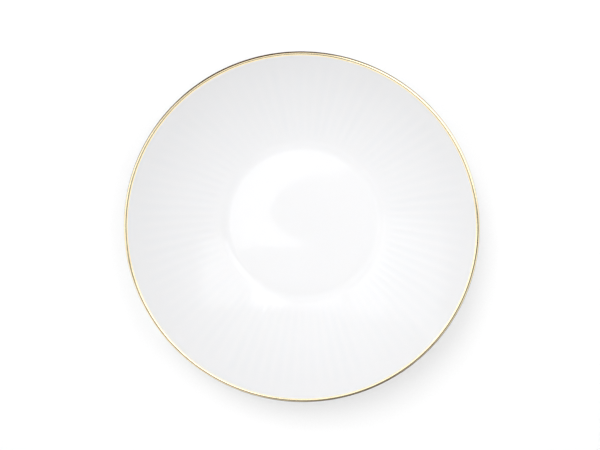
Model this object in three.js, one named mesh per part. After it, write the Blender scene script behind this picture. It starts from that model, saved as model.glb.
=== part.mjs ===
// A serving bowl of glazed porcelain: a flat well, a flared wall with eighty shallow flutes pressed
// into its face, a foot ring luted into a seat under the well, and a gilded band over the lip.
// Millimetres, +Z up. The origin is the centre of the circle that the foot stands on.
import * as THREE from "three";

// Overall sizes.
const rimRadius = 130; // outermost point of the lip
const bowlHeight = 60; // from the foot's bearing face to the top of the lip

// The well's flat floor.
const floorTop = 10; // height of its face
const floorThickness = 5;
const wellRadius = 57.5; // where it ends

// The wall: a tight bend out of the floor, then one long arc up to the lip.
const bendRadius = 18.5;
const bendSlope = 30; // degrees, where the bend runs into the long arc
const lipThickness = 3;

// The flutes, hollowed into the inner face.
const fluteCount = 80;
const fluteDepth = 0.15;
const fluteRunIn = 8; // radial length over which a flute deepens, from the end of the bend
const fluteRunOut = 8; // radial length over which it fades, below the plain margin
const plainMargin = 3; // smooth face between the flutes and the gilded band

// The gilded band, a channel over the lip.
const bandThickness = 0.4;
const bandReach = 0.5; // length of its straight sides, below the round of the lip

// The foot ring.
const footInset = 2.5; // its side stands this far inside the well's edge, so that bowls stack
const footWidth = 4.2; // across the bearing face and its two chamfers
const footChamfer = 0.6;
const footSpread = 1; // how much further each side reaches where the ring meets the bowl
const seatDepth = 0.8; // groove in the underside that locates the ring

// Room left for the luting slip and under the gilding.
const clearance = 0.3;

// How finely the round shapes are divided.
const facetsPerFlute = 2;
const facets = fluteCount * facetsPerFlute;
const bendSteps = 3;
const wallSteps = 5;
const lipSteps = 4;

const underside = floorTop - floorThickness;
const footRadius = wellRadius - footInset;
const lipRadius = lipThickness / 2;
const lipCentre = new THREE.Vector2(rimRadius - lipRadius, bowlHeight - lipRadius);
const radians = THREE.MathUtils.degToRad;

// A station is a point on the inner face, as radius and height, with the face's slope there.
const station = (r, z, slope) => ({ point: new THREE.Vector2(r, z), slope });

// Unit vectors along the face, away from the axis, and square to it, out of the porcelain.
const along = (slope) => new THREE.Vector2(Math.cos(slope), Math.sin(slope));
const outOf = (slope) => new THREE.Vector2(-Math.sin(slope), Math.cos(slope));

// A point measured from another: so far along a slope, and so far out of the face.
function offset(point, slope, distanceAlong, distanceOut) {
  return point
    .clone()
    .addScaledVector(along(slope), distanceAlong)
    .addScaledVector(outOf(slope), distanceOut);
}

// Stations on an arc that leaves a station along its face.
function arc(from, endSlope, radius, steps) {
  return Array.from({ length: steps }, (_, i) => {
    const slope = THREE.MathUtils.lerp(from.slope, endSlope, (i + 1) / steps);
    return station(
      from.point.x + radius * (Math.sin(slope) - Math.sin(from.slope)),
      from.point.y + radius * (Math.cos(from.slope) - Math.cos(slope)),
      slope,
    );
  });
}

// Where the inner face ends and the seat of the gilded band begins, for a given slope of the lip.
const bandFoot = (slope) => offset(lipCentre, slope, -bandReach - clearance, lipRadius);

// The slope with which an arc that leaves a station along its face arrives at the band.
function rimSlopeFrom(start) {
  let slope = start.slope;
  for (let pass = 0; pass < 20; pass += 1) {
    const chord = bandFoot(slope).sub(start.point);
    slope = 2 * Math.atan2(chord.y, chord.x) - start.slope;
  }
  return slope;
}

// The inner face, from the edge of the floor to the band.
function innerFace() {
  const face = [station(wellRadius, floorTop, 0)];
  face.push(...arc(face.at(-1), radians(bendSlope), bendRadius, bendSteps));
  const start = face.at(-1);
  const rimSlope = rimSlopeFrom(start);
  const wallRadius =
    (bandFoot(rimSlope).x - start.point.x) / (Math.sin(rimSlope) - Math.sin(start.slope));
  face.push(...arc(start, rimSlope, wallRadius, wallSteps));
  return face;
}

const face = innerFace();
const rimSlope = face.at(-1).slope;
const fluteStart = face[bendSteps].point.x;
const fluteEnd = face.at(-1).point.x - plainMargin;

// The wall thins evenly from the edge of the floor to the lip.
function thicknessAt(radius) {
  const share = (radius - wellRadius) / (face.at(-1).point.x - wellRadius);
  return THREE.MathUtils.lerp(floorThickness, lipThickness, THREE.MathUtils.clamp(share, 0, 1));
}

// Half a circle round the lip's centre, from its outer side over the top to its inner side.
function roundLip(radius) {
  return Array.from({ length: lipSteps + 1 }, (_, i) => {
    const turn = rimSlope - Math.PI / 2 + (Math.PI * i) / lipSteps;
    return offset(lipCentre, turn, radius, 0);
  });
}

// Groove for the foot ring, as its two radii and its ceiling.
const seat = {
  inner: footRadius - footWidth - footSpread - clearance,
  outer: footRadius + footSpread + clearance,
  ceiling: underside + seatDepth,
};

// The bowl's outline, up the outside, over the thinned lip and down the inside.
function bowlOutline() {
  const core = lipRadius - bandThickness - clearance;
  const backOf = ({ point, slope }) => offset(point, slope, 0, -thicknessAt(point.x));
  const bandSeat = -bandReach - clearance;
  return [
    new THREE.Vector2(0, underside),
    new THREE.Vector2(seat.inner, underside),
    new THREE.Vector2(seat.inner, seat.ceiling),
    new THREE.Vector2(seat.outer, seat.ceiling),
    new THREE.Vector2(seat.outer, underside),
    ...face.map(backOf),
    offset(lipCentre, rimSlope, bandSeat, -core),
    ...roundLip(core),
    offset(lipCentre, rimSlope, bandSeat, core),
    ...face.map(({ point }) => point).reverse(),
    new THREE.Vector2(0, floorTop),
  ];
}

// The band's outline: out over the lip, and back 0.4 mm beneath.
function bandOutline() {
  const under = lipRadius - bandThickness;
  return [
    offset(lipCentre, rimSlope, -bandReach, -lipRadius),
    ...roundLip(lipRadius),
    offset(lipCentre, rimSlope, -bandReach, lipRadius),
    offset(lipCentre, rimSlope, -bandReach, under),
    ...roundLip(under).reverse(),
    offset(lipCentre, rimSlope, -bandReach, -under),
    offset(lipCentre, rimSlope, -bandReach, -lipRadius),
  ];
}

// The foot ring's outline, widening upwards to the faces that are luted into the seat.
function footOutline() {
  const inside = footRadius - footWidth;
  const top = seat.ceiling - clearance;
  return [
    new THREE.Vector2(inside + footChamfer, 0),
    new THREE.Vector2(footRadius - footChamfer, 0),
    new THREE.Vector2(footRadius, footChamfer),
    new THREE.Vector2(footRadius + footSpread, underside),
    new THREE.Vector2(footRadius + footSpread, top),
    new THREE.Vector2(inside - footSpread, top),
    new THREE.Vector2(inside - footSpread, underside),
    new THREE.Vector2(inside, footChamfer),
    new THREE.Vector2(inside + footChamfer, 0),
  ];
}

// Turns an outline of radii and heights about the Z axis.
function turned(outline) {
  return new THREE.LatheGeometry(outline, facets).rotateX(Math.PI / 2);
}

// How deep a flute is at a radius: it deepens past the bend and fades below the band.
function fluteDepthAt(radius) {
  const runIn = THREE.MathUtils.smoothstep(radius, fluteStart, fluteStart + fluteRunIn);
  const runOut = THREE.MathUtils.smoothstep(radius, fluteEnd - fluteRunOut, fluteEnd);
  return fluteDepth * runIn * (1 - runOut);
}

// Sinks the inner face between the flutes' ridges, square to the face.
function pressFlutes(geometry, outline) {
  const position = geometry.getAttribute("position");
  const firstInner = outline.length - 1 - face.length;
  for (let turn = 0; turn <= facets; turn += 1) {
    const hollow = Math.sin((Math.PI * (turn % facetsPerFlute)) / facetsPerFlute);
    face.forEach(({ point, slope }, i) => {
      const vertex = turn * outline.length + firstInner + (face.length - 1 - i);
      const sunk = offset(point, slope, 0, -fluteDepthAt(point.x) * hollow);
      const scale = sunk.x / point.x;
      const x = position.getX(vertex) * scale;
      const y = position.getY(vertex) * scale;
      position.setXYZ(vertex, x, y, sunk.y);
    });
  }
  return geometry;
}

const porcelain = new THREE.MeshStandardMaterial({
  color: 0xf4f5f6,
  roughness: 0.08,
  metalness: 0,
});
const gold = new THREE.MeshStandardMaterial({ color: 0xd8ac5c, roughness: 0.2, metalness: 1 });

function piece(name, geometry, material) {
  const mesh = new THREE.Mesh(geometry, material);
  mesh.name = name;
  return mesh;
}

const outline = bowlOutline();
const servingBowl = new THREE.Group();
servingBowl.add(
  piece("bowl_body", pressFlutes(turned(outline), outline), porcelain),
  piece("foot_ring", turned(footOutline()), porcelain),
  piece("gold_rim_band", turned(bandOutline()), gold),
);

export default servingBowl;
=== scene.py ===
"""A serving bowl of white glazed porcelain, with a fluted wall, a luted foot ring and a gilded lip."""

import logging
import math
import random
from dataclasses import dataclass, field
from enum import Enum
from typing import Any, Iterable, Sequence

import bpy
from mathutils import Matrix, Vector

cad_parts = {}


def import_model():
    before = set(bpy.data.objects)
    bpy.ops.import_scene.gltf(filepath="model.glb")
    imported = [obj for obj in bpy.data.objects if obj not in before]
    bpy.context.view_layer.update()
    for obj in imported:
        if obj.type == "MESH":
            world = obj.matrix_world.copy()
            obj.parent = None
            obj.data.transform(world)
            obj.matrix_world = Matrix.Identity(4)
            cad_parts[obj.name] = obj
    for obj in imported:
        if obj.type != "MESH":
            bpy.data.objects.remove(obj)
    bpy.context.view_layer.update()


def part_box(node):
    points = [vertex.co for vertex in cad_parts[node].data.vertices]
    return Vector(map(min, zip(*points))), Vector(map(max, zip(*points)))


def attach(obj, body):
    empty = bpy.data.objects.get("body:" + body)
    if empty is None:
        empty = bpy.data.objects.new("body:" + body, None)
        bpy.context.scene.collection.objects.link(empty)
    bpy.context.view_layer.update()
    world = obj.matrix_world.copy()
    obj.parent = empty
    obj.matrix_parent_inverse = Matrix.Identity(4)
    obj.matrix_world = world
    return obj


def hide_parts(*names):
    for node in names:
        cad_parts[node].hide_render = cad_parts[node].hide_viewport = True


logger = logging.getLogger("serving_bowl")

MM = 0.001
BODY = "root"
WELD = 0.0005 * MM
CREASE = math.radians(40)


class Lamp(Enum):
    """How a lamp shows: as a mirrored shape in the glaze, or by its light alone."""

    MIRRORED = "mirrored"
    UNSEEN = "unseen"


# Colour and shader nodes.


def linear(hex_colour: str) -> tuple[float, float, float, float]:
    """Turns an sRGB colour into the linear one that shaders take.

    Args:
        hex_colour: the colour as "#RRGGBB".

    Returns:
        Red, green, blue and an alpha of 1.
    """
    channels = [int(hex_colour[i : i + 2], 16) / 255 for i in (1, 3, 5)]
    toe, slope, offset, gamma = 0.04045, 12.92, 0.055, 2.4
    red, green, blue = (
        c / slope if c <= toe else ((c + offset) / (1 + offset)) ** gamma for c in channels
    )
    return red, green, blue, 1.0


def add_node(
    tree: bpy.types.NodeTree,
    kind: str,
    settings: dict[str, Any] | None = None,
    sockets: dict[str | int, Any] | None = None,
) -> bpy.types.Node:
    """Adds a node with its settings and its input values or links.

    Args:
        tree: the node tree that gets the node.
        kind: the node's type, such as "ShaderNodeMath".
        settings: the node's own properties.
        sockets: inputs by name or place, each a value or an output socket to link from.

    Returns:
        The new node.
    """
    node = tree.nodes.new(kind)
    for name, value in (settings or {}).items():
        setattr(node, name, value)
    for key, value in (sockets or {}).items():
        if isinstance(value, bpy.types.NodeSocket):
            tree.links.new(value, node.inputs[key])
        else:
            node.inputs[key].default_value = value
    return node


def add_maths(tree: bpy.types.NodeTree, operation: str, *inputs: Any) -> bpy.types.NodeSocket:
    """Adds a Math node.

    Args:
        tree: the node tree that gets the node.
        operation: what the node does, such as "MULTIPLY".
        inputs: its inputs in order, each a value or an output socket to link from.

    Returns:
        The node's output.
    """
    node = add_node(tree, "ShaderNodeMath", {"operation": operation}, dict(enumerate(inputs)))
    return node.outputs[0]


def add_noise(
    tree: bpy.types.NodeTree, place: bpy.types.NodeSocket, width: float, detail: float
) -> bpy.types.NodeSocket:
    """Adds a noise pattern.

    Args:
        tree: the node tree that gets the node.
        place: where the pattern is read.
        width: the size of its largest blotches.
        detail: how many finer layers lie on those.

    Returns:
        The pattern, around 0.5.
    """
    sockets = {"Vector": place, "Scale": 1 / width, "Detail": detail}
    return add_node(tree, "ShaderNodeTexNoise", sockets=sockets).outputs["Fac"]


def add_mix(
    tree: bpy.types.NodeTree, share: bpy.types.NodeSocket, first: Any, second: Any
) -> bpy.types.NodeSocket:
    """Blends two colours.

    Args:
        tree: the node tree that gets the node.
        share: the second colour's share.
        first: the colour at a share of 0, as a value or an output socket.
        second: the colour at a share of 1.

    Returns:
        The blend.
    """
    sockets = {"Factor": share, "A": first, "B": second}
    return add_node(tree, "ShaderNodeMix", {"data_type": "RGBA"}, sockets).outputs["Result"]


def add_range(
    tree: bpy.types.NodeTree, share: bpy.types.NodeSocket, low: Any, high: Any
) -> bpy.types.NodeSocket:
    """Turns a share from 0 to 1 into a value from low to high.

    Args:
        tree: the node tree that gets the node.
        share: the share.
        low: the value at 0, or an output socket.
        high: the value at 1, or an output socket.

    Returns:
        The value.
    """
    sockets = {"Value": share, "To Min": low, "To Max": high}
    return add_node(tree, "ShaderNodeMapRange", sockets=sockets).outputs[0]


def add_bump(
    tree: bpy.types.NodeTree, height: bpy.types.NodeSocket, depth: float
) -> bpy.types.NodeSocket:
    """Adds fine relief.

    Args:
        tree: the node tree that gets the node.
        height: the relief, from 0 to 1.
        depth: its real depth.

    Returns:
        The bent normal.
    """
    sockets = {"Strength": 1.0, "Distance": depth, "Height": height}
    return add_node(tree, "ShaderNodeBump", sockets=sockets).outputs[0]


def read_mesh(tree: bpy.types.NodeTree, name: str) -> bpy.types.NodeSocket:
    """Reads a mesh attribute that runs from 0 to 1."""
    settings = {"attribute_type": "GEOMETRY", "attribute_name": name}
    return add_node(tree, "ShaderNodeAttribute", settings).outputs["Fac"]


def new_material(name: str) -> tuple[bpy.types.Material, bpy.types.NodeTree]:
    """Makes a material with an empty node tree.

    Args:
        name: the material's name.

    Returns:
        The material and its tree.
    """
    material = bpy.data.materials.new(name)
    material.use_nodes = True
    material.node_tree.nodes.clear()
    return material, material.node_tree


def close_material(tree: bpy.types.NodeTree, shader: bpy.types.Node) -> None:
    """Links a shader to the material's output."""
    add_node(tree, "ShaderNodeOutputMaterial", sockets={"Surface": shader.outputs[0]})


# Outlines and turned meshes.


@dataclass(frozen=True)
class Station:
    """A point of the bowl's inner face, with the slope of the face there in radians."""

    radius: float
    height: float
    slope: float

    def offset(self, along: float, out: float) -> Vector:
        """Gives a point measured from this one.

        Args:
            along: the distance along the face, away from the axis.
            out: the distance square to the face, out of the porcelain.

        Returns:
            The point as radius and height.
        """
        ahead = Vector((math.cos(self.slope), math.sin(self.slope)))
        outward = Vector((-math.sin(self.slope), math.cos(self.slope)))
        return Vector((self.radius, self.height)) + ahead * along + outward * out

    def arc(self, end_slope: float, radius: float, steps: int) -> list["Station"]:
        """Follows an arc that leaves this station along the face.

        Args:
            end_slope: the slope at the arc's end.
            radius: the arc's radius, negative where the face is convex.
            steps: the number of stations on it.

        Returns:
            The stations after this one.
        """
        stations = []
        for i in range(1, steps + 1):
            slope = self.slope + (end_slope - self.slope) * i / steps
            run = radius * (math.sin(slope) - math.sin(self.slope))
            rise = radius * (math.cos(self.slope) - math.cos(slope))
            stations.append(Station(self.radius + run, self.height + rise, slope))
        return stations


def smoothstep(value: float, low: float, high: float) -> float:
    """Rises smoothly from 0 at low to 1 at high."""
    share = min(1.0, max(0.0, (value - low) / (high - low)))
    return share * share * (3 - 2 * share)


def quarter_round(centre: Vector, radius: float, start: float, end: float, steps: int) -> list[Vector]:
    """Gives points on an arc of a circle.

    Args:
        centre: the circle's centre as radius and height.
        radius: the circle's radius.
        start: the angle of the first point, in radians from the outward direction.
        end: the angle of the last point.
        steps: the number of spans.

    Returns:
        The points, both ends included.
    """
    angles = (start + (end - start) * i / steps for i in range(steps + 1))
    return [centre + Vector((math.cos(a), math.sin(a))) * radius for a in angles]


def deselect_all() -> None:
    """Deselects every object, so that an operator acts on the new piece alone."""
    bpy.ops.object.select_all(action="DESELECT")


def turn_outline(name: str, outline: Sequence[Vector], steps: int) -> bpy.types.Object:
    """Draws an outline by extruding a vertex, and spins it round the Z axis into a closed skin.

    Args:
        name: the piece's name.
        outline: radii and heights. It starts and ends on the axis, or ends where it starts.
        steps: the number of spans round the axis.

    Returns:
        The piece, with its faces pointing outwards.
    """
    deselect_all()
    start = Vector((outline[0].x, 0, outline[0].y))
    bpy.ops.mesh.primitive_plane_add(size=MM, location=start)
    piece = bpy.context.object
    piece.name = name
    bpy.ops.object.transform_apply(location=True, rotation=True, scale=True)
    bpy.ops.object.mode_set(mode="EDIT")
    bpy.ops.mesh.select_mode(type="VERT")
    bpy.ops.mesh.select_all(action="SELECT")
    bpy.ops.mesh.merge(type="CENTER")
    for here, there in zip(outline, outline[1:]):
        step = (there.x - here.x, 0, there.y - here.y)
        bpy.ops.mesh.extrude_region_move(TRANSFORM_OT_translate={"value": step})
    bpy.ops.mesh.select_all(action="SELECT")
    bpy.ops.mesh.spin(steps=steps, angle=math.tau, center=(0, 0, 0), axis=(0, 0, 1))
    bpy.ops.mesh.select_all(action="SELECT")
    bpy.ops.mesh.remove_doubles(threshold=WELD)
    bpy.ops.mesh.normals_make_consistent(inside=False)
    bpy.ops.object.mode_set(mode="OBJECT")
    return piece


def finish_piece(piece: bpy.types.Object, node: str, material: bpy.types.Material) -> None:
    """Dresses a piece and ties it to the frame.

    Args:
        piece: the piece, in place.
        node: the node of the frame that it stands for.
        material: its finish.
    """
    deselect_all()
    piece.select_set(True)
    bpy.context.view_layer.objects.active = piece
    bpy.ops.object.shade_smooth_by_angle(angle=CREASE)
    piece.data.materials.clear()
    piece.data.materials.append(material)
    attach(piece, BODY)
    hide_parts(node)
    logger.info("%s: %d faces, %s", piece.name, len(piece.data.polygons), material.name)


# Finishes.


@dataclass(frozen=True)
class GlazedPorcelain:
    """Hard-paste porcelain under a clear feldspathic glaze, fired glossy.

    The eye gets a cold, slightly translucent white, mirror-like highlights whose edges waver a little because
    the glaze settles unevenly, and a faint grey-blue where it runs together in the hollows.
    """

    name: str = "glazed_hard_paste_porcelain"
    clay: str = "#EAEAEB"
    pooled_glaze: str = "#E6E7E9"
    glaze_ior: float = 1.5
    gloss_roughness: float = 0.02
    roughness_spread: float = 0.02
    ripple_width: float = 14 * MM
    ripple_height: float = 0.02 * MM
    cloud_width: float = 42 * MM
    bleed: float = 0.15
    bleed_depth: float = 1.5 * MM
    bleed_colours: tuple[float, float, float] = (1.0, 0.9, 0.8)

    def build(self) -> bpy.types.Material:
        """Builds the material.

        Returns:
            The material. It reads the mesh attribute glaze_pool, from 0 on a ridge to 1 in a hollow.
        """
        material, tree = new_material(self.name)
        place = add_node(tree, "ShaderNodeTexCoord").outputs["Object"]
        cloud = add_noise(tree, place, self.cloud_width, 3.0)
        pooled = add_maths(tree, "MULTIPLY", read_mesh(tree, "glaze_pool"), cloud)
        colour = add_mix(tree, pooled, linear(self.clay), linear(self.pooled_glaze))
        roughest = self.gloss_roughness + self.roughness_spread
        roughness = add_range(tree, cloud, self.gloss_roughness, roughest)
        ripple = add_noise(tree, place, self.ripple_width, 1.0)
        shader = add_node(
            tree,
            "ShaderNodeBsdfPrincipled",
            {"subsurface_method": "RANDOM_WALK"},
            {
                "Base Color": colour,
                "Roughness": roughness,
                "IOR": self.glaze_ior,
                "Subsurface Weight": self.bleed,
                "Subsurface Radius": self.bleed_colours,
                "Subsurface Scale": self.bleed_depth,
                "Normal": add_bump(tree, ripple, self.ripple_height),
            },
        )
        close_material(tree, shader)
        return material


@dataclass(frozen=True)
class LutedFoot:
    """The same porcelain on the foot ring, with the glaze wiped off the edge that stood on the kiln shelf.

    The eye gets a dry, faintly sandy and slightly warmer ring under a glossy side, with a soft line between.
    """

    name: str = "glazed_foot_with_wiped_biscuit_edge"
    clay: str = "#F1F2F2"
    biscuit: str = "#DAD3C6"
    glaze_ior: float = 1.5
    gloss_roughness: float = 0.07
    biscuit_roughness: float = 0.75
    wiped_height: float = 0.7 * MM
    wipe_waver: float = 0.35 * MM
    waver_width: float = 8 * MM
    grit_width: float = 0.35 * MM
    grit_height: float = 0.03 * MM

    def build(self) -> bpy.types.Material:
        """Builds the material.

        Returns:
            The material, whose bare edge is found by its height.
        """
        material, tree = new_material(self.name)
        place = add_node(tree, "ShaderNodeTexCoord").outputs["Object"]
        height = add_node(tree, "ShaderNodeSeparateXYZ", sockets={"Vector": place}).outputs["Z"]
        waver = add_noise(tree, place, self.waver_width, 2.0)
        line = add_maths(tree, "MULTIPLY_ADD", waver, -self.wipe_waver, height)
        glazed = add_node(
            tree,
            "ShaderNodeMapRange",
            {"interpolation_type": "SMOOTHSTEP"},
            {
                "Value": line,
                "From Min": self.wiped_height - self.wipe_waver,
                "From Max": self.wiped_height,
            },
        ).outputs[0]
        bare = add_maths(tree, "SUBTRACT", 1.0, glazed)
        sandy = add_maths(tree, "MULTIPLY", add_noise(tree, place, self.grit_width, 4.0), bare)
        colour = add_mix(tree, bare, linear(self.clay), linear(self.biscuit))
        roughness = add_range(tree, glazed, self.biscuit_roughness, self.gloss_roughness)
        shader = add_node(
            tree,
            "ShaderNodeBsdfPrincipled",
            sockets={
                "Base Color": colour,
                "Roughness": roughness,
                "IOR": self.glaze_ior,
                "Normal": add_bump(tree, sandy, self.grit_height),
            },
        )
        close_material(tree, shader)
        return material


@dataclass(frozen=True)
class BurnishedGold:
    """Bright gold brushed on while the bowl turns on a wheel, fired, and burnished.

    The eye gets a thin yellow mirror, a little streaky round the rim from the brush, with a painted dark
    brown reflection along its outer edge.
    """

    name: str = "burnished_bright_gold"
    gold: str = "#FAEDCC"
    thin_gold: str = "#EAD5A6"
    # Painted dark reflection: the brown laid on the gold's outer edge.
    painted_dark_reflection: str = "#4A3012"
    burnish_roughness: float = 0.08
    streak_roughness: float = 0.18
    streak_width: float = 0.35 * MM
    streak_length: float = 30 * MM
    streak_height: float = 0.004 * MM
    patch_width: float = 6 * MM
    rim_reach: float = 130 * MM

    def build(self) -> bpy.types.Material:
        """Builds the material.

        Returns:
            The material, whose streaks run round the Z axis. It reads the mesh attribute
            painted_reflection_margin, from 0 where the gold is unpainted to 1 on the painted dark reflection
            along the outer edge.
        """
        material, tree = new_material(self.name)
        place = add_node(tree, "ShaderNodeTexCoord").outputs["Object"]
        parts = add_node(tree, "ShaderNodeSeparateXYZ", sockets={"Vector": place})
        east, north, height = (parts.outputs[axis] for axis in "XYZ")
        turn = add_maths(tree, "ARCTAN2", north, east)
        flat = add_node(tree, "ShaderNodeCombineXYZ", sockets={"X": east, "Y": north}).outputs[0]
        radius = add_node(tree, "ShaderNodeVectorMath", {"operation": "LENGTH"}, {0: flat})
        along = add_maths(tree, "MULTIPLY", turn, self.rim_reach / self.streak_length)
        across = add_maths(tree, "MULTIPLY", radius.outputs["Value"], 1 / self.streak_width)
        up = add_maths(tree, "MULTIPLY", height, 1 / self.streak_width)
        brush = add_node(tree, "ShaderNodeCombineXYZ", sockets={"X": along, "Y": across, "Z": up})
        streak = add_noise(tree, brush.outputs[0], 1.0, 3.0)
        patch = add_noise(tree, place, self.patch_width, 3.0)
        thin = add_maths(tree, "MULTIPLY", streak, patch)
        film = add_mix(tree, thin, linear(self.gold), linear(self.thin_gold))
        # Painted dark reflection: brown mixed in along the outer edge, where a mirror would show the dark
        # room and the bowl's shadow.
        colour = add_mix(tree, read_mesh(tree, "painted_reflection_margin"), film, linear(self.painted_dark_reflection))
        roughness = add_range(tree, streak, self.burnish_roughness, self.streak_roughness)
        shader = add_node(
            tree,
            "ShaderNodeBsdfPrincipled",
            sockets={
                "Base Color": colour,
                "Metallic": 1.0,
                "Roughness": roughness,
                "Normal": add_bump(tree, streak, self.streak_height),
            },
        )
        close_material(tree, shader)
        return material


@dataclass(frozen=True)
class SeamlessPaper:
    """Matt white background paper, which gives the eye a clean field with the bowl's soft shadow on it."""

    name: str = "matt_background_paper"
    white: str = "#FAFAFA"
    shade: str = "#F5F5F5"
    fibre_width: float = 1.5 * MM
    roughness: float = 0.9
    sheen: float = 0.1

    def build(self) -> bpy.types.Material:
        """Builds the material.

        Returns:
            The material.
        """
        material, tree = new_material(self.name)
        place = add_node(tree, "ShaderNodeTexCoord").outputs["Object"]
        fibre = add_noise(tree, place, self.fibre_width, 2.0)
        colour = add_mix(tree, fibre, linear(self.white), linear(self.shade))
        shader = add_node(
            tree,
            "ShaderNodeBsdfPrincipled",
            sockets={
                "Base Color": colour,
                "Roughness": self.roughness,
                "Specular IOR Level": self.sheen,
            },
        )
        close_material(tree, shader)
        return material


@dataclass(frozen=True)
class BlackVelvet:
    """Black flocked cloth, which shows in the glaze only as a lack of light."""

    name: str = "black_flocked_cloth"
    black: str = "#0A0A0A"

    def build(self) -> bpy.types.Material:
        """Builds the material.

        Returns:
            The material.
        """
        material, tree = new_material(self.name)
        shader = add_node(
            tree,
            "ShaderNodeBsdfPrincipled",
            sockets={
                "Base Color": linear(self.black),
                "Roughness": 1.0,
                "Specular IOR Level": 0.0,
            },
        )
        close_material(tree, shader)
        return material


# The bowl.


@dataclass
class BowlShape:
    """The sizes that the bowl's pieces share, and the curve of its inner face."""

    rim_radius: float
    rim_height: float
    underside: float
    floor_thickness: float = 5 * MM
    well_radius: float = 57.5 * MM
    bend_radius: float = 18.5 * MM
    bend_slope: float = math.radians(30)
    lip_thickness: float = 3 * MM
    gilding_reach: float = 0.5 * MM
    bend_steps: int = 12
    wall_steps: int = 24
    slope_rounds: int = 20
    face: list[Station] = field(init=False)
    lip: Station = field(init=False)

    def __post_init__(self) -> None:
        """Works out the inner face and the lip."""
        self.face = self._inner_face()
        slope = self.face[-1].slope
        self.lip = Station(*self._lip_centre(), slope)

    @property
    def floor_top(self) -> float:
        """The height of the well's floor."""
        return self.underside + self.floor_thickness

    @property
    def lip_radius(self) -> float:
        """The radius of the lip's round edge."""
        return self.lip_thickness / 2

    @property
    def bend_end(self) -> float:
        """The radius at which the bend runs into the wall."""
        return self.face[self.bend_steps].radius

    def _lip_centre(self) -> Vector:
        """The centre of the lip's round edge."""
        return Vector((self.rim_radius - self.lip_radius, self.rim_height - self.lip_radius))

    def _face_end(self, slope: float) -> Vector:
        """Where the bare inner face meets the gilding, for a lip of that slope."""
        return Station(*self._lip_centre(), slope).offset(-self.gilding_reach, self.lip_radius)

    def _rim_slope(self, start: Station) -> float:
        """Finds the slope at which one arc from a station arrives at the gilding.

        Args:
            start: the station where the arc begins.

        Returns:
            The slope at its end, in radians.
        """
        slope = start.slope
        for _ in range(self.slope_rounds):
            chord = self._face_end(slope) - Vector((start.radius, start.height))
            slope = 2 * math.atan2(chord.y, chord.x) - start.slope
        return slope

    def _inner_face(self) -> list[Station]:
        """Lays out the inner face from the edge of the floor to the gilding.

        Returns:
            The stations: the floor's edge, the bend's and the wall's.
        """
        face = [Station(self.well_radius, self.floor_top, 0)]
        face += face[-1].arc(self.bend_slope, self.bend_radius, self.bend_steps)
        start = face[-1]
        rim_slope = self._rim_slope(start)
        run = self._face_end(rim_slope).x - start.radius
        wall_radius = run / (math.sin(rim_slope) - math.sin(start.slope))
        return face + start.arc(rim_slope, wall_radius, self.wall_steps)

    def thickness_at(self, radius: float) -> float:
        """Gives the wall's thickness, which thins evenly from the floor's edge to the lip.

        Args:
            radius: the distance from the axis.

        Returns:
            The thickness there.
        """
        share = (radius - self.well_radius) / (self.face[-1].radius - self.well_radius)
        share = min(1.0, max(0.0, share))
        return self.floor_thickness + (self.lip_thickness - self.floor_thickness) * share

    def back(self) -> list[Vector]:
        """Gives the outer face, behind each station, from the floor's edge to the lip."""
        return [s.offset(0, -self.thickness_at(s.radius)) for s in self.face]

    def lip_round(self, radius: float, steps: int) -> list[Vector]:
        """Gives the half circle over the lip, from its inner side to its outer side.

        Args:
            radius: the half circle's radius.
            steps: the number of spans.

        Returns:
            The points.
        """
        centre = Vector((self.lip.radius, self.lip.height))
        inner = self.lip.slope + math.pi / 2
        return quarter_round(centre, radius, inner, inner - math.pi, steps)


@dataclass
class FootSeat:
    """The shallow groove in the underside that takes the foot ring."""

    inner: float
    outer: float
    depth: float


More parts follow.
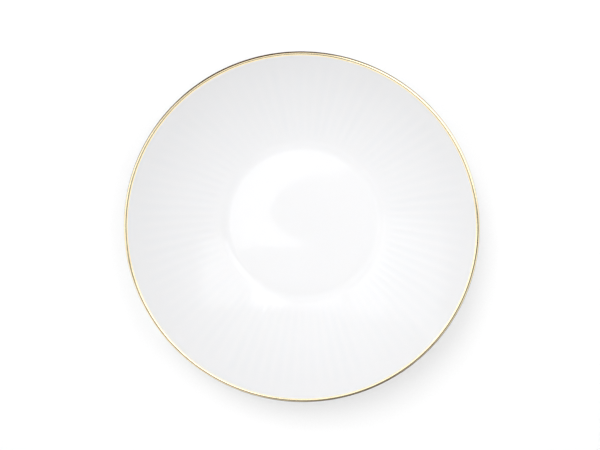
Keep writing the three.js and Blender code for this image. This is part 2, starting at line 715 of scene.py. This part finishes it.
@dataclass
class BowlBody:
    """The pressed porcelain shell: a flat well, a fluted wall, and a lip that takes the gilding."""

    shape: BowlShape
    seat: FootSeat
    gilding_thickness: float
    flute_count: int = 80
    flute_depth: float = 0.12 * MM
    shallowest_flute: float = 0.45
    run_in: float = 8 * MM
    run_out: float = 8 * MM
    plain_margin: float = 3 * MM
    arris_softness: float = 0.25
    spans_per_flute: int = 10
    lip_steps: int = 8
    floor_rings: int = 4
    shares: list[float] = field(init=False)

    def __post_init__(self) -> None:
        """Draws the share of the full depth that each flute was pressed to."""
        hand = random.Random(self.flute_count)
        self.shares = [hand.uniform(self.shallowest_flute, 1) for _ in range(self.flute_count)]

    def build(self) -> bpy.types.Object:
        """Builds the shell and presses its flutes.

        Returns:
            The shell.
        """
        piece = turn_outline(
            "porcelain_bowl_shell", self._outline(), self.flute_count * self.spans_per_flute
        )
        hollows = self._hollows(piece)
        self._press(piece, hollows)
        pool = piece.data.attributes.new("glaze_pool", "FLOAT", "POINT")
        pool.data.foreach_set("value", hollows)
        return piece

    def _outline(self) -> list[Vector]:
        """Draws the shell's outline, from the well's centre over the lip and back under the floor."""
        shape = self.shape
        rings = [shape.well_radius * i / self.floor_rings for i in range(self.floor_rings)]
        core = shape.lip_radius - self.gilding_thickness
        inner_shoulder = shape.lip.offset(-shape.gilding_reach, core)
        outer_shoulder = shape.lip.offset(-shape.gilding_reach, -core)
        ceiling = shape.underside + self.seat.depth
        return [
            *(Vector((r, shape.floor_top)) for r in rings),
            *(Vector((s.radius, s.height)) for s in shape.face),
            inner_shoulder,
            *shape.lip_round(core, self.lip_steps),
            outer_shoulder,
            *reversed(shape.back()),
            Vector((self.seat.outer, shape.underside)),
            Vector((self.seat.outer, ceiling)),
            Vector((self.seat.inner, ceiling)),
            Vector((self.seat.inner, shape.underside)),
            Vector((0, shape.underside)),
        ]

    def _hollow_at(self, place: Vector) -> float:
        """Tells how deep in a flute a point of the inner face is.

        Args:
            place: the point.

        Returns:
            0 on a ridge or on plain porcelain, and 1 in the middle of a full flute.
        """
        radius = math.hypot(place.x, place.y)
        start = self.shape.bend_end
        end = self.shape.face[-1].radius - self.plain_margin
        length = smoothstep(radius, start, start + self.run_in)
        length *= 1 - smoothstep(radius, end - self.run_out, end)
        turn = math.atan2(place.y, place.x) * self.flute_count / math.tau
        share = self.shares[math.floor(turn + 0.5) % self.flute_count]
        across = math.cos(math.pi * turn)
        soft = self.arris_softness
        return length * share * (math.hypot(across, soft) - soft) / (math.hypot(1, soft) - soft)

    def _on_inner_face(self, vertex: bpy.types.MeshVertex) -> bool:
        """Tells the inner face from the outer one by which way it looks."""
        inward = vertex.normal.z > 0
        return inward and vertex.co.z < self.shape.face[-1].height

    def _hollows(self, piece: bpy.types.Object) -> list[float]:
        """Gives each vertex its share of the flutes' depth."""
        return [
            self._hollow_at(v.co) if self._on_inner_face(v) else 0.0 for v in piece.data.vertices
        ]

    def _press(self, piece: bpy.types.Object, hollows: Iterable[float]) -> None:
        """Sinks the flutes with a Displace modifier, square to the face.

        Args:
            piece: the plain shell.
            hollows: each vertex's share of the depth.
        """
        group = piece.vertex_groups.new(name="flutes")
        for index, hollow in enumerate(hollows):
            if hollow > 0:
                group.add([index], hollow, "REPLACE")
        press = piece.modifiers.new("flutes", "DISPLACE")
        press.direction = "NORMAL"
        press.mid_level = 0
        press.strength = -self.flute_depth
        press.vertex_group = group.name
        bpy.context.view_layer.objects.active = piece
        bpy.ops.object.modifier_apply(modifier=press.name)
        piece.vertex_groups.clear()


@dataclass
class FootRing:
    """The foot: a ring with rounded bearing edges that flares into the underside."""

    underside: float
    reach: float
    spread: float = 1 * MM
    width: float = 4.2 * MM
    edge_round: float = 0.6 * MM
    slip: float = 0.3 * MM
    joint: float = 0.02 * MM
    seat_depth: float = 0.8 * MM
    round_steps: int = 5
    flare_steps: int = 8
    spans: int = 240

    @property
    def outer_radius(self) -> float:
        """The radius of the ring's side, below the flare."""
        return self.reach - self.spread

    @property
    def inner_radius(self) -> float:
        """The radius of the ring's inner side, below the flare."""
        return self.outer_radius - self.width

    @property
    def flare(self) -> float:
        """How far each side sweeps out to the edge of the seat, where slip fills the joint."""
        return self.spread + self.slip

    def seat(self) -> FootSeat:
        """Gives the groove that takes the ring's top."""
        return FootSeat(self.inner_radius - self.flare, self.outer_radius + self.flare, self.seat_depth)

    def build(self) -> bpy.types.Object:
        """Builds the ring.

        Returns:
            The ring.
        """
        return turn_outline("luted_foot_ring", self._outline(), self.spans)

    def _outline(self) -> list[Vector]:
        """Draws the ring's closed outline, up the outer side and down the inner one."""
        quarter = math.pi / 2
        top = self.underside - self.joint
        shelf = self.underside + self.seat_depth / 2
        outer_edge = Vector((self.outer_radius - self.edge_round, self.edge_round))
        inner_edge = Vector((self.inner_radius + self.edge_round, self.edge_round))
        outer_flare = Vector((self.outer_radius + self.flare, top - self.flare))
        inner_flare = Vector((self.inner_radius - self.flare, top - self.flare))
        tuck = 2 * self.joint
        outline = [
            *quarter_round(outer_edge, self.edge_round, -quarter, 0, self.round_steps),
            *quarter_round(outer_flare, self.flare, 2 * quarter, quarter, self.flare_steps),
            Vector((outer_flare.x - tuck, shelf)),
            Vector((inner_flare.x + tuck, shelf)),
            *quarter_round(inner_flare, self.flare, quarter, 0, self.flare_steps),
            *quarter_round(inner_edge, self.edge_round, -2 * quarter, -quarter, self.round_steps),
        ]
        return [*outline, outline[0]]


@dataclass
class GildedBand:
    """The gilding: a thin film over the lip, flush with the glaze beside it."""

    shape: BowlShape
    thickness: float = 0.05 * MM
    joint: float = 0.01 * MM
    # Reach of the painted dark reflection over the lip: its narrowest and broadest reach, the turn where it
    # is broadest, its foot and its fade.
    narrow_margin: float = math.radians(30)
    broad_margin: float = math.radians(77)
    broadest_at: float = math.radians(290)
    margin_foot: float = math.radians(14)
    fade: float = math.radians(8)
    lip_steps: int = 20
    spans: int = 480

    def build(self) -> bpy.types.Object:
        """Builds the film.

        Returns:
            The film.
        """
        piece = turn_outline("gilded_rim_film", self._outline(), self.spans)
        # Painted dark reflection on the outer edge, as a share per vertex.
        margin = piece.data.attributes.new("painted_reflection_margin", "FLOAT", "POINT")
        margin.data.foreach_set("value", [self._painted_reflection_at(v.co) for v in piece.data.vertices])
        return piece

    def _painted_reflection_at(self, place: Vector) -> float:
        """Tells where the painted dark reflection lies on the film's outer edge, broadest a little off
        centre, on the side of the bowl's shadow.

        Args:
            place: a point of the film.

        Returns:
            0 where the gold is unpainted, and 1 on the painted dark reflection along its outer margin.
        """
        out = math.hypot(place.x, place.y) - self.shape.lip.radius
        turn = math.atan2(place.z - self.shape.lip.height, out)
        share = math.cos(math.atan2(place.y, place.x) - self.broadest_at) ** 2
        margin = self.narrow_margin + (self.broad_margin - self.narrow_margin) * share
        low = smoothstep(turn, self.margin_foot - self.fade, self.margin_foot)
        return low * (1 - smoothstep(turn, margin - self.fade / 2, margin + self.fade / 2))

    def _outline(self) -> list[Vector]:
        """Draws the film's closed outline, over its face and back along its underside."""
        shape = self.shape
        reach = shape.gilding_reach - self.joint
        outside = shape.lip_radius
        inside = outside - self.thickness
        outline = [
            shape.lip.offset(-reach, outside),
            *shape.lip_round(outside, self.lip_steps),
            shape.lip.offset(-reach, -outside),
            shape.lip.offset(-reach, -inside),
            *reversed(shape.lip_round(inside, self.lip_steps)),
            shape.lip.offset(-reach, inside),
        ]
        return [*outline, outline[0]]


# The studio.


@dataclass(frozen=True)
class Softbox:
    """A flat lamp that looks straight down or at a point."""

    name: str
    centre: tuple[float, float, float]
    size: tuple[float, float]
    radiance: float
    aim: tuple[float, float, float] | None = None
    kind: Lamp = Lamp.MIRRORED

    def hang(self) -> bpy.types.Object:
        """Hangs the lamp.

        Returns:
            The lamp.
        """
        width, depth = self.size
        lamp = bpy.data.lights.new(self.name, "AREA")
        lamp.shape = "RECTANGLE"
        lamp.size = width
        lamp.size_y = depth
        lamp.energy = self.radiance * math.pi * width * depth
        holder = bpy.data.objects.new(self.name, lamp)
        bpy.context.scene.collection.objects.link(holder)
        holder.location = self.centre
        holder.visible_glossy = self.kind is Lamp.MIRRORED
        if self.aim is not None:
            look = Vector(self.aim) - Vector(self.centre)
            holder.rotation_euler = look.to_track_quat("-Z", "Y").to_euler()
        return holder


@dataclass
class Studio:
    """A white floor, soft lamps overhead, and a camera that looks almost straight down."""

    rim_height: float
    lens: float = 41.3
    distance: float = 0.5005
    lean_back: float = math.radians(9.57)
    lean_right: float = math.radians(2.18)
    aim_back: float = 7 * MM
    floor_size: float = 12.0
    walls: str = "#FFFFFF"
    flag_centre: tuple[float, float, float] = (0.016, -0.13, 0.97)
    flag_reach: tuple[float, float] = (0.12, 0.075)
    room: float = 0.275
    backdrop: float = 0.9
    mirrored_walls: float = 1.15
    dark_ceiling: tuple[float, float] = (0.65, 0.88)
    lamps: tuple[Softbox, ...] = (
        Softbox("left_near", (-0.29, 0.34, 1.0), (0.52, 1.12), 1.15),
        Softbox("left_far", (-0.95, 0.3, 1.0), (0.6, 1.2), 0.9),
        Softbox("left_side", (-1.5, 0.3, 0.85), (1.3, 0.5), 0.5, aim=(-0.86, 0.3, 0.0)),
        Softbox("behind_camera", (0.01, 0.42, 1.0), (0.2, 0.96), 0.85),
        Softbox("right_near", (0.355, 0.395, 1.0), (0.49, 0.91), 2.4),
        Softbox("right_far", (0.95, 0.335, 1.0), (0.7, 0.83), 1.05),
        Softbox("front", (0.0, -1.15, 1.0), (2.4, 0.9), 1.65, kind=Lamp.UNSEEN),
        Softbox("key", (-0.55, 1.51, 2.29), (1.2, 1.2), 4.9, aim=(0, 0, 0), kind=Lamp.UNSEEN),
    )

    def build(self) -> None:
        """Sets up the floor, lamps, camera and view."""
        self._place_camera()
        self._lay_floor()
        self._hang_flag()
        self._fill_sky()
        for lamp in self.lamps:
            lamp.hang()
        bpy.context.scene.view_settings.view_transform = "Standard"

    def _place_camera(self) -> None:
        """Puts the camera over the bowl, leaning past the vertical towards the back."""
        camera = bpy.data.cameras.new("camera")
        camera.lens = self.lens
        holder = bpy.data.objects.new("camera", camera)
        bpy.context.scene.collection.objects.link(holder)
        across, back = math.sin(self.lean_right), math.sin(self.lean_back)
        away = Vector((across, back, math.sqrt(1 - across**2 - back**2)))
        aim = Vector((0, self.aim_back, self.rim_height))
        holder.location = aim + away * self.distance
        right = Vector((1, 0, 0)) - away * away.x
        right.normalize()
        up = away.cross(right)
        turned = holder.matrix_basis.to_3x3()
        turned.col[0], turned.col[1], turned.col[2] = right, up, away
        holder.rotation_euler = turned.to_euler()
        bpy.context.scene.camera = holder

    def _lay_floor(self) -> None:
        """Lays the floor at the height that the foot stands on."""
        deselect_all()
        bpy.ops.mesh.primitive_plane_add(size=self.floor_size, location=(0, 0, 0))
        floor = bpy.context.object
        floor.name = "background_paper"
        floor.data.materials.append(SeamlessPaper().build())

    def _hang_flag(self) -> None:
        """Hangs a round black flag under the lamps, which the well's floor mirrors as a faint grey patch."""
        deselect_all()
        bpy.ops.mesh.primitive_circle_add(
            vertices=64, radius=1, fill_type="NGON", location=self.flag_centre
        )
        flag = bpy.context.object
        flag.name = "black_flag"
        flag.scale = (*self.flag_reach, 1)
        flag.data.materials.append(BlackVelvet().build())

    def _fill_sky(self) -> None:
        """Fills the room with even light, which glaze and gold mirror as pale walls and a dark ceiling."""
        world = bpy.data.worlds.new("studio")
        world.use_nodes = True
        tree = world.node_tree
        tree.nodes.clear()
        ray = add_node(tree, "ShaderNodeLightPath").outputs
        direction = add_node(tree, "ShaderNodeTexCoord").outputs["Generated"]
        height = add_node(tree, "ShaderNodeSeparateXYZ", sockets={"Vector": direction}).outputs["Z"]
        pale, dark = self.dark_ceiling
        mirrored = add_node(
            tree,
            "ShaderNodeMapRange",
            sockets={
                "Value": height,
                "From Min": pale,
                "From Max": dark,
                "To Min": self.mirrored_walls,
                "To Max": 0.0,
            },
        )
        plain = add_range(tree, ray["Is Camera Ray"], self.room, self.backdrop)
        strength = add_range(tree, ray["Is Glossy Ray"], plain, mirrored.outputs[0])
        light = add_node(
            tree,
            "ShaderNodeBackground",
            sockets={"Color": linear(self.walls), "Strength": strength},
        )
        add_node(tree, "ShaderNodeOutputWorld", sockets={"Surface": light.outputs[0]})
        bpy.context.scene.world = world


def main() -> None:
    """Loads the frame and builds the bowl and the studio round it."""
    logging.basicConfig(level=logging.INFO, format="%(name)s: %(message)s")
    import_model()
    _, band_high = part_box("gold_rim_band")
    body_low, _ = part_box("bowl_body")
    shape = BowlShape(rim_radius=band_high.x, rim_height=band_high.z, underside=body_low.z)
    _, foot_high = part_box("foot_ring")
    foot = FootRing(underside=shape.underside, reach=foot_high.x)
    band = GildedBand(shape)
    body = BowlBody(shape, foot.seat(), gilding_thickness=band.thickness + band.joint)
    Studio(rim_height=shape.rim_height).build()
    finish_piece(body.build(), "bowl_body", GlazedPorcelain().build())
    finish_piece(foot.build(), "foot_ring", LutedFoot().build())
    finish_piece(band.build(), "gold_rim_band", BurnishedGold().build())


if __name__ == "__main__":
    main()
